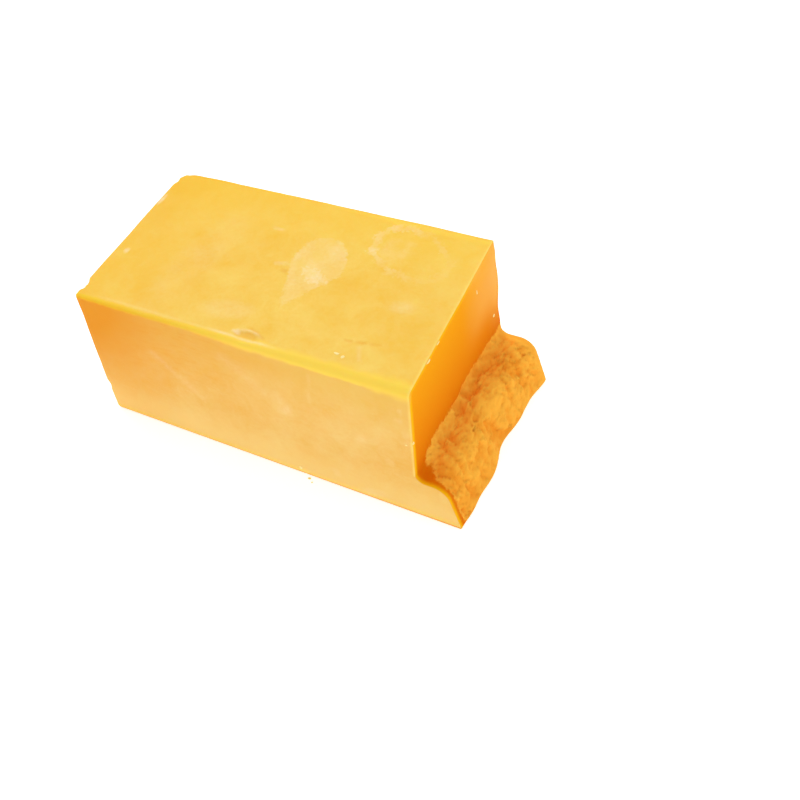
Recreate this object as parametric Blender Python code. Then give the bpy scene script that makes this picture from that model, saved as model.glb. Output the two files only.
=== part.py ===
"""A cheddar block, part eaten, with the foot of its last slice still on it.

The block is one solid piece of cheese. A long bar was pressed and cut at the
creamery, so its four long faces are flat and nearly square to each other. At
the right end a knife came down most of the way, and the slice was then broken
off by hand, which left a torn foot standing out from the cut. The left end has
lost two small chips from its upper edge.

Sizes are in millimetres, measured from the lower front left corner of the bar:
X along it, Y away from the front, Z up. The finished mesh is in metres, with
its origin in the middle of the resting face.
"""
import bpy
import bmesh
import math
import numpy as np
from mathutils import Vector

METRES = 0.001

# The bar, measured at its left end and at the knife cut
CUT_AT = 134.5
OVERRUN = 22.0
LEFT_WIDTH = 75.0
CUT_WIDTH = 76.6
LEFT_FRONT_HEIGHT = 62.3
LEFT_BACK_HEIGHT = 63.0
CUT_FRONT_HEIGHT = 64.2
CUT_BACK_HEIGHT = 65.4

# How far the upper edges stand in from the lower ones
FRONT_LEAN_LEFT = 0.3
FRONT_LEAN_CUT = 1.5
BACK_LEAN_LEFT = 0.5
BACK_LEAN_CUT = -0.2
LEFT_END_LEAN = 2.4

# Rounding of the pressed edges
EDGE_ROUND = 1.1
TOP_FRONT_ROUND = 2.0
ROUND_STEPS = 3

# The knife cut: how far its top stands out from its foot, and how far it turns
CUT_LEAN_FRONT = 1.2
CUT_LEAN_BACK = -2.8
CUT_TURN = 0.9

# The torn foot left by the broken slice
FOOT_REACH = 17.0
FOOT_WANDER = 1.1
SHELF_HEIGHT = 19.2
SHELF_CLIMB = 3.2
CLIMB_OVER = 12.0
SHELF_DROP = 2.4
HOLLOW_ROUND = 3.4
NOSE_ROUND = 7.2
NOSE_TURN = math.radians(74.0)

# Ridges across the torn face, like scales lying on each other
RIDGE_PITCH = 8.0
RIDGE_DEPTH = 1.5
RIDGE_BOW = 9.0
PITCH_WANDER = 2.2
QUIET_FRONT = 4.0
RIDGE_RAMP = 7.0

# Divisions of the torn face
ACROSS_STEPS = 44
ACROSS_MARGIN = 4.0
HOLLOW_STEPS = 4
SHELF_STEPS = 4
NOSE_STEPS = 6
FALL_STEPS = 6

# Chips on the upper left edge: middle along Y, half length, depth
CHIPS = {
    "front_chip": (6.8, 5.8, 1.5),
    "back_chip": (72.0, 8.0, 1.4),
}
CHIP_BALL = 5.0
CHIP_FACES = 2


def smooth(value, start, end):
    """Runs from 0 at start to 1 at end along the curve 3 t^2 - 2 t^3."""
    t = min(max((value - start) / (end - start), 0.0), 1.0)
    return t * t * (3.0 - 2.0 * t)


def remove_everything():
    for old in list(bpy.data.objects):
        bpy.data.objects.remove(old, do_unlink=True)


def long_edges():
    """The four long edges, each as its left end and its place at the cut."""
    lower_front = (0.0, 0.0, 0.0), (CUT_AT, 0.0, 0.0)
    lower_back = (0.0, LEFT_WIDTH, 0.0), (CUT_AT, CUT_WIDTH, 0.0)
    upper_back = (
        (0.0, LEFT_WIDTH - BACK_LEAN_LEFT, LEFT_BACK_HEIGHT),
        (CUT_AT, CUT_WIDTH - BACK_LEAN_CUT, CUT_BACK_HEIGHT),
    )
    upper_front = (
        (LEFT_END_LEAN, FRONT_LEAN_LEFT, LEFT_FRONT_HEIGHT),
        (CUT_AT, FRONT_LEAN_CUT, CUT_FRONT_HEIGHT),
    )
    edges = [lower_front, lower_back, upper_back, upper_front]
    return [(Vector(left), Vector(at_cut)) for left, at_cut in edges]


def make_bar():
    """The pressed bar, run on past the knife cut, with its edges rounded."""
    left_end = []
    far_end = []
    for left, at_cut in long_edges():
        run = at_cut - left
        left_end.append(left)
        far_end.append(left + run * (CUT_AT + OVERRUN - left.x) / run.x)
    corners = left_end + far_end
    faces = [(0, 3, 2, 1), (4, 5, 6, 7)]
    for near in range(4):
        following = (near + 1) % 4
        faces.append((near, following, following + 4, near + 4))
    mesh = bpy.data.meshes.new("cheddar_block")
    mesh.from_pydata([corner * METRES for corner in corners], [], faces)
    bar = bpy.data.objects.new("cheddar_block", mesh)
    bpy.context.collection.objects.link(bar)
    shape = bmesh.new()
    shape.from_mesh(mesh)
    bmesh.ops.recalc_face_normals(shape, faces=shape.faces)
    weight = shape.edges.layers.float.new("bevel_weight_edge")
    for edge in shape.edges:
        middle = (edge.verts[0].co + edge.verts[1].co) / 2 / METRES
        on_top_front = middle.z > LEFT_FRONT_HEIGHT and middle.y < LEFT_WIDTH / 4
        edge[weight] = 1.0 if on_top_front else EDGE_ROUND / TOP_FRONT_ROUND
    shape.to_mesh(mesh)
    shape.free()
    rounding = bar.modifiers.new("pressed_edges", "BEVEL")
    rounding.limit_method = "WEIGHT"
    rounding.width = TOP_FRONT_ROUND * METRES
    rounding.segments = ROUND_STEPS
    return bar


def cut_x(y, z):
    """Where the knife passed, at a place across and up the bar."""
    across = y / CUT_WIDTH
    lean = CUT_LEAN_FRONT * (1.0 - across) + CUT_LEAN_BACK * across
    return CUT_AT + CUT_TURN * across + lean * z / CUT_FRONT_HEIGHT


def foot_profile(y):
    """Points of the torn foot at one place across, from the cut to the floor.

    A hollow of one radius joins the cut to a shelf. The shelf ends in a nose of
    another radius, and from there the face falls straight to the floor. Each
    point comes with its outward direction, in the plane of the profile.
    """
    across = y / CUT_WIDTH
    shelf = SHELF_HEIGHT + SHELF_CLIMB * smooth(y, 1.0, CLIMB_OVER)
    shelf -= SHELF_DROP * smooth(across, 0.5, 1.0)
    sway = math.sin(7.9 * across) + 0.6 * math.sin(19.0 * across + 1.0)
    foot = CUT_AT + FOOT_REACH + FOOT_WANDER * sway * smooth(y, 0.0, CLIMB_OVER)
    left = cut_x(y, shelf)
    fall_slope = math.tan(NOSE_TURN)
    nose_low = shelf - NOSE_ROUND * (1.0 - math.cos(NOSE_TURN))
    nose_x = foot - nose_low / fall_slope - NOSE_ROUND * math.sin(NOSE_TURN)
    points = []
    for step in range(HOLLOW_STEPS + 1):
        turn = 0.5 * math.pi * step / HOLLOW_STEPS
        x = left + HOLLOW_ROUND * (1.0 - math.cos(turn))
        z = shelf + HOLLOW_ROUND * (1.0 - math.sin(turn))
        points.append(((x, z), (math.cos(turn), math.sin(turn))))
    start = left + HOLLOW_ROUND
    for step in range(1, SHELF_STEPS):
        points.append(((start + (nose_x - start) * step / SHELF_STEPS, shelf), (0.0, 1.0)))
    for step in range(NOSE_STEPS + 1):
        turn = NOSE_TURN * step / NOSE_STEPS
        x = nose_x + NOSE_ROUND * math.sin(turn)
        z = shelf - NOSE_ROUND * (1.0 - math.cos(turn))
        points.append(((x, z), (math.sin(turn), math.cos(turn))))
    out = (math.sin(NOSE_TURN), math.cos(NOSE_TURN))
    (low_x, low_z), _ = points[-1]
    for step in range(1, FALL_STEPS + 1):
        z = low_z * (1.0 - step / FALL_STEPS)
        points.append(((low_x + (low_z - z) / fall_slope, z), out))
    return points


def ridge(y, along):
    """Height of the torn ridges, from 0 at the cut to 1 at the floor.

    Each scale is a half wave with a sharp valley on either side. The scales bow
    towards the front as they leave the cut, their pitch wanders, and a finer
    wave breaks up their crests.
    """
    bowed = y + RIDGE_BOW * along * (1.0 - along) + PITCH_WANDER * math.sin(0.31 * y + 4.0 * along)
    scale = abs(math.sin(math.pi * bowed / RIDGE_PITCH)) - 0.6
    fine = 0.3 * math.sin(2.0 * math.pi * (1.7 * y / RIDGE_PITCH + 1.6 * along))
    fade = smooth(y, QUIET_FRONT, QUIET_FRONT + RIDGE_RAMP)
    ends = math.sqrt(max(math.sin(math.pi * along), 0.0))
    return RIDGE_DEPTH * (scale + fine) * fade * ends


def make_knife_and_tear():
    """What the knife and the tear took away, as a solid to cut with."""
    top = CUT_BACK_HEIGHT + 10.0
    below = -6.0
    beyond = CUT_AT + OVERRUN + 8.0
    first = -ACROSS_MARGIN
    last = CUT_WIDTH + ACROSS_MARGIN
    shape = bmesh.new()
    loops = []
    for step in range(ACROSS_STEPS + 1):
        y = first + (last - first) * step / ACROSS_STEPS
        inside = min(max(y, 0.0), CUT_WIDTH)
        foot = foot_profile(inside)
        outline = [(cut_x(inside, top), top)]
        for number, ((x, z), (out_x, out_z)) in enumerate(foot):
            rise = ridge(inside, number / (len(foot) - 1))
            outline.append((x + out_x * rise, z + out_z * rise))
        (last_x, last_z) = outline[-1]
        outline.append((last_x + (last_z - below) / math.tan(NOSE_TURN), below))
        outline += [(beyond, below), (beyond, top)]
        loops.append([shape.verts.new(Vector((x, y, z)) * METRES) for x, z in outline])
    for near, far in zip(loops, loops[1:]):
        for number in range(len(near)):
            following = (number + 1) % len(near)
            shape.faces.new((near[number], near[following], far[following], far[number]))
    shape.faces.new(loops[0])
    shape.faces.new(loops[-1])
    bmesh.ops.recalc_face_normals(shape, faces=shape.faces)
    mesh = bpy.data.meshes.new("knife_and_tear")
    shape.to_mesh(mesh)
    shape.free()
    cutter = bpy.data.objects.new("knife_and_tear", mesh)
    bpy.context.collection.objects.link(cutter)
    return cutter


def make_chip(name, middle, half_length, depth):
    """A shell-shaped chip: a lumpy ball sunk into the upper left edge."""
    upper_back, upper_front = long_edges()[2:]
    along = (middle - upper_front[0].y) / (upper_back[0].y - upper_front[0].y)
    edge = upper_front[0].lerp(upper_back[0], along)
    out = Vector((-1.0, 0.0, 0.6)).normalized()
    centre = edge + out * (CHIP_BALL - depth)
    shape = bmesh.new()
    bmesh.ops.create_icosphere(shape, subdivisions=CHIP_FACES, radius=1.0)
    for vert in shape.verts:
        place = vert.co.copy()
        lumps = 1.0 + 0.07 * math.sin(5.0 * place.y + 3.0 * place.z) + 0.05 * math.sin(9.0 * place.x)
        stretched = Vector((place.x * CHIP_BALL, place.y * half_length, place.z * CHIP_BALL))
        vert.co = (centre + stretched * lumps) * METRES
    mesh = bpy.data.meshes.new(name)
    shape.to_mesh(mesh)
    shape.free()
    chip = bpy.data.objects.new(name, mesh)
    bpy.context.collection.objects.link(chip)
    return chip


def in_triangles(thing):
    """Splits the evaluated faces into triangles, so that each one is flat."""
    depsgraph = bpy.context.evaluated_depsgraph_get()
    mesh = bpy.data.meshes.new_from_object(thing.evaluated_get(depsgraph))
    shape = bmesh.new()
    shape.from_mesh(mesh)
    bmesh.ops.triangulate(shape, faces=shape.faces)
    shape.to_mesh(mesh)
    shape.free()
    thing.modifiers.clear()
    thing.data = mesh


def take_away(part, tool):
    """Cuts one shape from the part, and removes the shape."""
    in_triangles(part)
    in_triangles(tool)
    cut = part.modifiers.new(tool.name, "BOOLEAN")
    cut.operation = "DIFFERENCE"
    cut.solver = "EXACT"
    cut.object = tool
    depsgraph = bpy.context.evaluated_depsgraph_get()
    result = bpy.data.meshes.new_from_object(part.evaluated_get(depsgraph))
    part.modifiers.clear()
    part.data = result
    bpy.data.objects.remove(tool, do_unlink=True)


def centre_on_resting_face(part):
    """Moves the mesh so that the origin is the middle of its footprint."""
    points = np.array([vert.co for vert in part.data.vertices])
    low = points.min(axis=0)
    high = points.max(axis=0)
    middle = (low + high) / 2.0
    for vert in part.data.vertices:
        vert.co -= Vector((middle[0], middle[1], low[2]))


def cheddar():
    """Annatto-coloured cheddar: warm orange, waxy, not metallic."""
    material = bpy.data.materials.new("annatto_cheddar")
    material.use_nodes = True
    shader = material.node_tree.nodes["Principled BSDF"]
    shader.inputs["Base Color"].default_value = (0.93, 0.50, 0.10, 1.0)
    shader.inputs["Roughness"].default_value = 0.45
    shader.inputs["Metallic"].default_value = 0.0
    return material


def build():
    remove_everything()
    block = make_bar()
    take_away(block, make_knife_and_tear())
    for name, (middle, half_length, depth) in CHIPS.items():
        take_away(block, make_chip(name, middle, half_length, depth))
    centre_on_resting_face(block)
    block.data.name = "cheddar_block"
    block.data.materials.clear()
    block.data.materials.append(cheddar())


build()
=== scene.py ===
"""A part-eaten cheddar block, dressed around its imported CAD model.

Sizes are in millimetres in the bar's own axes, as in the part's source: the lower front left
corner of the bar is the start, X runs along it, Y away from its front, and Z up.
"""

import bpy
import numpy as np
from mathutils import Matrix, Vector


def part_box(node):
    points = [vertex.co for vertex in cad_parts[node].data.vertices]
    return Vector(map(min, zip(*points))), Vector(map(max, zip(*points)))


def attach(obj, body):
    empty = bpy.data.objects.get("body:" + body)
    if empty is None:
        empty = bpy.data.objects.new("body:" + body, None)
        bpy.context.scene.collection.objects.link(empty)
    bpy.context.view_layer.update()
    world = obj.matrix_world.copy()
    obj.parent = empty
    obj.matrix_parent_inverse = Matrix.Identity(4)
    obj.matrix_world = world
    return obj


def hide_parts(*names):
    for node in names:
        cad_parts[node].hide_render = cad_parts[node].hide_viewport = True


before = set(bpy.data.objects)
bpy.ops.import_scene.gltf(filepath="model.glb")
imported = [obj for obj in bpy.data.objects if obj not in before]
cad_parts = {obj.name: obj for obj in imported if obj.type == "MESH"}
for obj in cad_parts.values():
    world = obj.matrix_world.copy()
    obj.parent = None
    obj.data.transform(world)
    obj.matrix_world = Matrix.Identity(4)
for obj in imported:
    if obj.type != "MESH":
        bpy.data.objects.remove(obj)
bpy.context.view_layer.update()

# The block
# One bar of orange cheddar, pressed and cut at the creamery, so its long faces are flat and waxy
# and its edges slightly rounded. A knife made the right end and stopped a third of the way up,
# and the slice was broken off by hand, which left the rough foot below the cut.

METRES = 0.001
LEFT_WIDTH = 75.0
CUT_AT = 134.5
CUT_WIDTH = 76.6
LEFT_FRONT_HEIGHT = 62.3
LEFT_BACK_HEIGHT = 63.0
CUT_FRONT_HEIGHT = 64.2
CUT_BACK_HEIGHT = 65.9
FRONT_LEAN_LEFT = 0.3
FRONT_LEAN_CUT = 1.5
BACK_LEAN_LEFT = 0.5
BACK_LEAN_CUT = -0.2
LEFT_END_LEAN = 2.4

EDGE_ROUND = 1.1
TOP_FRONT_ROUND_LEFT = 1.2
TOP_FRONT_ROUND_CUT = 2.4
CRISP_ROUND = 0.35
CUT_BACK_ROUND = 1.5
CORNER_ROUND = 1.3
CUT_TOP_ROUND = 0.4
TIP_ROUND = 0.6

CUT_LEAN_FRONT = 1.2
CUT_LEAN_BACK = -2.8
CUT_TURN = 0.9
FOOT_REACH = 17.0
FOOT_WANDER = 1.1
SHELF_HEIGHT = 19.2
SHELF_CLIMB = 3.2
CLIMB_OVER = 12.0
SHELF_DROP = 2.4
HOLLOW_ROUND = 3.4
NOSE_ROUND = 7.2
NOSE_TURN = np.radians(74.0)

RIDGE_PITCH = 8.0
RIDGE_DEPTH = 1.5
RIDGE_BOW = 9.0
PITCH_WANDER = 2.2
QUIET_FRONT = 4.0
RIDGE_RAMP = 7.0

ARC_STEPS = 4
ALONG_STEPS = 138
FALL_STEPS = 24
NOSE_STEPS = 22
SHELF_STEPS = 14
HOLLOW_STEPS = 12
CUT_STEPS = 26
UP_STEPS = FALL_STEPS + NOSE_STEPS + SHELF_STEPS + HOLLOW_STEPS + CUT_STEPS
ACROSS_STEPS = 118
ROUND_STEPS = 5
LEFT_SHELF_HEIGHT = 17.5

CHIPS = [(6.2, 5.0, 2.1), (68.6, 4.2, 1.5)]
CHIP_BALL = 5.0


def ease(value, start, end):
    """3 t^2 - 2 t^3, where t goes from 0 at start to 1 at end."""
    t = np.clip((value - start) / (end - start), 0.0, 1.0)
    return t * t * (3.0 - 2.0 * t)


def blend(first, second, share):
    """first + (second - first) * share."""
    return first + (second - first) * share


def crowded(count, crowd):
    """Places from 0 up to, but not at, 1, closer near both ends: t - crowd sin(2 pi t) / 2 pi."""
    t = np.arange(count) / count
    return t - crowd * np.sin(2.0 * np.pi * t) / (2.0 * np.pi)


def lumps(points, size, seed):
    """Smooth noise from -1 to 1: random values on a lattice, size mm apart, each cell blended
    between its eight corners by 3 t^2 - 2 t^3 along every axis."""
    lattice = 24
    table = np.random.default_rng(seed).uniform(-1.0, 1.0, (lattice, lattice, lattice))
    place = np.asarray(points) / size + lattice
    cell = np.floor(place).astype(int)
    t = place - cell
    t = t * t * (3.0 - 2.0 * t)
    total = 0.0
    for corner in np.ndindex(2, 2, 2):
        weight = np.prod(np.where(corner, t, 1.0 - t), axis=-1)
        i, j, k = np.moveaxis((cell + corner) % lattice, -1, 0)
        total = total + weight * table[i, j, k]
    return total


def cut_x(across, z):
    """x of the knife cut: CUT_AT + turn * across + lean * z / height, the lean blended across."""
    lean = blend(CUT_LEAN_FRONT, CUT_LEAN_BACK, across)
    return CUT_AT + CUT_TURN * across + lean * z / CUT_FRONT_HEIGHT


def arc(middle_x, middle_z, radius, first, last):
    """Points on a circle, middle + radius * (cos, sin), from the first angle up to the last."""
    angle = np.radians(first + (last - first) * np.arange(ARC_STEPS) / ARC_STEPS)
    return middle_x + radius * np.cos(angle), middle_z + radius * np.sin(angle) + 0.0 * middle_x


def right_end(across):
    """x, z and place along the tear, from the tip on the floor up to the top of the cut.

    A straight fall, a nose of one radius, a level shelf, a hollow of another radius, then the
    leaning plane of the cut. The place along the tear is 1 at the floor and 0 at the cut.
    """
    y = across * CUT_WIDTH
    shelf = SHELF_HEIGHT + SHELF_CLIMB * ease(y, 1.0, CLIMB_OVER)
    shelf = shelf - SHELF_DROP * ease(across, 0.5, 1.0)
    sway = np.sin(7.9 * across) + 0.6 * np.sin(19.0 * across + 1.0)
    foot = CUT_AT + FOOT_REACH + FOOT_WANDER * sway * ease(y, 0.0, CLIMB_OVER)
    slope = np.tan(NOSE_TURN)
    nose_low = shelf - NOSE_ROUND * (1.0 - np.cos(NOSE_TURN))
    nose_x = foot - nose_low / slope - NOSE_ROUND * np.sin(NOSE_TURN)
    hollow_x = cut_x(across, shelf)
    cut_low = shelf + HOLLOW_ROUND

    tilt = 90.0 - np.degrees(NOSE_TURN)
    tip_middle = foot - TIP_ROUND / np.tan(NOSE_TURN / 2.0)
    half_way = (tilt - 90.0) / 2.0
    tip = arc(tip_middle, TIP_ROUND, TIP_ROUND, half_way, tilt)
    step = np.arange(FALL_STEPS) / FALL_STEPS
    fall_z = blend(TIP_ROUND * (1.0 + np.sin(np.radians(tilt))), nose_low, step)
    turn = NOSE_TURN * (1.0 - np.arange(NOSE_STEPS) / NOSE_STEPS)
    nose = nose_x + NOSE_ROUND * np.sin(turn), shelf - NOSE_ROUND * (1.0 - np.cos(turn))
    shelf_x = blend(nose_x, hollow_x + HOLLOW_ROUND, np.arange(SHELF_STEPS) / SHELF_STEPS)
    turn = 0.5 * np.pi * (1.0 - np.arange(HOLLOW_STEPS) / HOLLOW_STEPS)
    hollow = hollow_x + HOLLOW_ROUND * (1.0 - np.cos(turn)), shelf + HOLLOW_ROUND * (1.0 - np.sin(turn))
    cut_z = blend(cut_low, CUT_FRONT_HEIGHT - CUT_TOP_ROUND, crowded(2 * CUT_STEPS, 0.75)[CUT_STEPS:] * 2.0 - 1.0)
    cut_top = cut_x(across, CUT_FRONT_HEIGHT)
    top = arc(cut_top - CUT_TOP_ROUND, CUT_FRONT_HEIGHT - CUT_TOP_ROUND, CUT_TOP_ROUND, 0.0, 45.0)

    x = [tip[0], foot - fall_z / slope, nose[0], shelf_x, hollow[0], cut_x(across, cut_z), top[0]]
    z = [tip[1], fall_z, nose[1], shelf + 0.0 * shelf_x, hollow[1], cut_z, top[1]]
    tear = np.concatenate([
        np.full(ARC_STEPS, 1.0),
        np.linspace(1.0, 0.7, FALL_STEPS, endpoint=False),
        np.linspace(0.7, 0.4, NOSE_STEPS, endpoint=False),
        np.linspace(0.4, 0.2, SHELF_STEPS, endpoint=False),
        np.linspace(0.2, 0.0, HOLLOW_STEPS, endpoint=False),
        np.zeros(CUT_STEPS + ARC_STEPS),
    ])
    return np.concatenate(x, axis=1), np.concatenate(z, axis=1), tear, foot, cut_top


def outline(across):
    """The closed outline of the bar in X and Z at each place across, anticlockwise from the
    lower left corner: the floor line, the right end, the top line and the left end, joined by
    arcs. Each side starts in the middle of an arc and has as many points as the one opposite.
    """
    right_x, right_z, tear, foot, cut_top = right_end(across)
    half_way = -np.degrees(NOSE_TURN) / 2.0
    tip_middle = foot - TIP_ROUND / np.tan(NOSE_TURN / 2.0)
    flat = np.zeros_like(across)
    along = crowded(ALONG_STEPS, 0.45)
    low_left = arc(flat + CORNER_ROUND, CORNER_ROUND, CORNER_ROUND, 225.0, 270.0)
    low_right = arc(tip_middle, TIP_ROUND, TIP_ROUND, -90.0, half_way)
    floor_x = blend(CORNER_ROUND, tip_middle, along)
    bottom = np.concatenate([low_left[0], floor_x, low_right[0]], axis=1)
    bottom_z = np.concatenate([low_left[1], 0.0 * floor_x, low_right[1]], axis=1)

    top_middle = cut_top - CUT_TOP_ROUND
    high_right = arc(top_middle, CUT_FRONT_HEIGHT - CUT_TOP_ROUND, CUT_TOP_ROUND, 45.0, 90.0)
    high_left = arc(flat + CORNER_ROUND, CUT_FRONT_HEIGHT - CORNER_ROUND, CORNER_ROUND, 90.0, 135.0)
    top_line = blend(top_middle, CORNER_ROUND, along)
    top = np.concatenate([high_right[0], top_line, high_left[0]], axis=1)
    top_z = np.concatenate([high_right[1], CUT_FRONT_HEIGHT + 0.0 * top_line, high_left[1]], axis=1)

    foot_steps = FALL_STEPS + NOSE_STEPS + SHELF_STEPS
    lower = np.linspace(CORNER_ROUND, LEFT_SHELF_HEIGHT, foot_steps, endpoint=False)
    upper = blend(LEFT_SHELF_HEIGHT, CUT_FRONT_HEIGHT - CORNER_ROUND, crowded(UP_STEPS - foot_steps, 0.5))
    left_z = np.concatenate([lower, upper])
    left_z = np.append(left_z, CUT_FRONT_HEIGHT - CORNER_ROUND)[::-1][:-1]
    upper_arc = arc(flat + CORNER_ROUND, CUT_FRONT_HEIGHT - CORNER_ROUND, CORNER_ROUND, 135.0, 180.0)
    lower_arc = arc(flat + CORNER_ROUND, CORNER_ROUND, CORNER_ROUND, 180.0, 225.0)
    left = np.concatenate([upper_arc[0], flat + 0.0 * left_z, lower_arc[0]], axis=1)
    left_z = np.concatenate([upper_arc[1], left_z + flat, lower_arc[1]], axis=1)

    x = np.concatenate([bottom, right_x, top, left], axis=1)
    z = np.concatenate([bottom_z, right_z, top_z, left_z], axis=1)
    return x, z, tear, foot, cut_top


across_count = ALONG_STEPS + 2 * ARC_STEPS
up_count = UP_STEPS + 2 * ARC_STEPS
loop_count = 2 * (across_count + up_count)
sides = {
    "bottom": slice(0, across_count),
    "right": slice(across_count, across_count + up_count),
    "top": slice(across_count + up_count, 2 * across_count + up_count),
    "left": slice(2 * across_count + up_count, loop_count),
}


def rounding(x, z, foot, cut_top, top_left, top_right, cut_round):
    """How far each outline point stands in from the edge on an end cap, in X and Z, and how
    deep the rounding goes: one radius for each side, eased into the next at the corners."""
    inset_x = np.zeros_like(x)
    inset_z = np.zeros_like(x)
    depth = np.zeros_like(x)
    tip_round = 0.4 * EDGE_ROUND

    part = sides["bottom"]
    near_tip = ease(x[:, part], foot - 8.0, foot - 1.0)
    radius = blend(EDGE_ROUND, tip_round, np.clip(x[:, part] / foot, 0.0, 1.0))
    inset_x[:, part] = EDGE_ROUND * (1.0 - ease(x[:, part], CORNER_ROUND, 8.0)) - CRISP_ROUND * near_tip
    inset_z[:, part] = radius
    depth[:, part] = radius

    part = sides["right"]
    run_x = np.gradient(x[:, part], axis=1)
    run_z = np.gradient(z[:, part], axis=1)
    length = np.hypot(run_x, run_z)
    up = ease(z[:, part], TIP_ROUND, 5.0)
    over = ease(z[:, part], CUT_FRONT_HEIGHT - 9.0, CUT_FRONT_HEIGHT - CUT_TOP_ROUND) ** 2
    on_cut = ease(z[:, part], SHELF_HEIGHT + 6.0, SHELF_HEIGHT + 14.0)
    radius = blend(CRISP_ROUND, cut_round, on_cut)
    inset_x[:, part] = blend(-radius, -radius * run_z / length, up * (1.0 - over))
    inset_z[:, part] = blend(blend(tip_round, radius * run_x / length, up), -top_right, over)
    depth[:, part] = blend(blend(tip_round, radius, up), top_right, over)

    part = sides["top"]
    radius = blend(top_left, top_right, ease(x[:, part], 30.0, 120.0))
    near_cut = ease(x[:, part], cut_top - 5.0, cut_top - CUT_TOP_ROUND)
    inset_x[:, part] = EDGE_ROUND * (1.0 - ease(x[:, part], CORNER_ROUND, 8.0)) - cut_round * near_cut
    inset_z[:, part] = -radius
    depth[:, part] = radius

    part = sides["left"]
    high = ease(z[:, part], CUT_FRONT_HEIGHT - 8.0, CUT_FRONT_HEIGHT - CORNER_ROUND)
    low = 1.0 - ease(z[:, part], CORNER_ROUND, 8.0)
    inset_x[:, part] = EDGE_ROUND
    inset_z[:, part] = EDGE_ROUND * low - top_left * high
    depth[:, part] = EDGE_ROUND
    return inset_x, inset_z, depth


def tube():
    """The bar's skin without its front and back: the outline carried from front to back.

    The first and last rounds are the rounded edges, cap + (outline - cap) sin a at a depth of
    depth * (1 - cos a). Between them the outline goes straight across.
    """
    turn = 0.5 * np.pi * np.arange(ROUND_STEPS) / ROUND_STEPS
    across = np.append(crowded(ACROSS_STEPS, 0.35), 1.0)
    places = np.concatenate([np.zeros(ROUND_STEPS), across, np.ones(ROUND_STEPS)])[:, None]
    x, z, tear, foot, cut_top = outline(places)
    front = rounding(x, z, foot, cut_top, TOP_FRONT_ROUND_LEFT, TOP_FRONT_ROUND_CUT, CRISP_ROUND)
    back = rounding(x, z, foot, cut_top, EDGE_ROUND, EDGE_ROUND, CUT_BACK_ROUND)
    y = front[2] + (CUT_WIDTH - front[2] - back[2]) * places
    rise = np.ones_like(places)
    for number, angle in enumerate(turn):
        rise[number] = np.sin(angle)
        y[number] = front[2][number] * (1.0 - np.cos(angle))
        rise[-1 - number] = np.sin(angle)
        y[-1 - number] = CUT_WIDTH - back[2][-1 - number] * (1.0 - np.cos(angle))
    near_front = np.arange(len(places))[:, None] < len(places) / 2
    inset_x = np.where(near_front, front[0], back[0])
    inset_z = np.where(near_front, front[1], back[1])
    x = x + inset_x * (1.0 - rise)
    z = z + inset_z * (1.0 - rise)
    return np.stack([x, y, z], axis=-1), tear, rise


def cap(ring):
    """Fills one end of the tube: points blended between the left and right sides of its border,
    then between its bottom and top, less the blend of its four corners (a Coons patch)."""
    bottom = np.vstack([ring[sides["bottom"]], ring[sides["right"]][:1]])
    right = np.vstack([ring[sides["right"]], ring[sides["top"]][:1]])
    top = np.vstack([ring[sides["top"]], ring[sides["left"]][:1]])[::-1]
    left = np.vstack([ring[sides["left"]], ring[:1]])[::-1]
    share_x = ((bottom[:, 0] - bottom[0, 0]) / (bottom[-1, 0] - bottom[0, 0]))[:, None, None]
    share_z = ((left[:, 2] - left[0, 2]) / (left[-1, 2] - left[0, 2]))[None, :, None]
    sideways = blend(left[None], right[None], share_x)
    upwards = blend(bottom[:, None], top[:, None], share_z)
    low = blend(bottom[0], bottom[-1], share_x)
    high = blend(top[0], top[-1], share_x)
    return sideways + upwards - blend(low, high, share_z)


skin, tear_along, rise = tube()
round_count = len(skin)
skin_index = np.arange(round_count * loop_count).reshape(round_count, loop_count)
following = np.roll(skin_index, -1, axis=1)
quads = [np.stack([skin_index[:-1], skin_index[1:], following[1:], following[:-1]], -1).reshape(-1, 4)]
points = [skin.reshape(-1, 3)]
for end in (0, -1):
    filled = cap(skin[end])
    inside = filled[1:-1, 1:-1]
    ring = skin_index[end]
    grid = np.empty(filled.shape[:2], int)
    grid[1:-1, 1:-1] = np.arange(inside[..., 0].size).reshape(inside.shape[:2]) + sum(map(len, points))
    grid[:, 0] = np.append(ring[sides["bottom"]], ring[sides["right"]][0])
    grid[-1, :] = np.append(ring[sides["right"]], ring[sides["top"]][0])
    grid[:, -1] = np.append(ring[sides["top"]], ring[sides["left"]][0])[::-1]
    grid[0, :] = np.append(ring[sides["left"]], ring[0])[::-1]
    faces = np.stack([grid[:-1, :-1], grid[1:, :-1], grid[1:, 1:], grid[:-1, 1:]], -1).reshape(-1, 4)
    quads.append(faces if end == 0 else faces[:, ::-1])
    points.append(inside.reshape(-1, 3))
quads = np.concatenate(quads)
base = np.concatenate(points)


def out_of_true(place):
    """Moves a true bar to the hand-cut one. Height and width are blended between their values
    at the four ends, and the upper edges and the left end lean in proportion to the height."""
    x, y, z = np.moveaxis(place, -1, 0)
    along = x / CUT_AT
    across = y / CUT_WIDTH
    up = z / CUT_FRONT_HEIGHT
    front = blend(FRONT_LEAN_LEFT, FRONT_LEAN_CUT, along) * up
    back = blend(LEFT_WIDTH, CUT_WIDTH, along) - blend(BACK_LEAN_LEFT, BACK_LEAN_CUT, along) * up
    front_height = blend(LEFT_FRONT_HEIGHT, CUT_FRONT_HEIGHT, along)
    back_height = blend(LEFT_BACK_HEIGHT, CUT_BACK_HEIGHT, along)
    lean = LEFT_END_LEAN * up * (1.0 - across) * np.clip(1.0 - along, 0.0, 1.0)
    return np.stack([x + lean, blend(front, back, across), up * blend(front_height, back_height, across)], -1)


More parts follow.
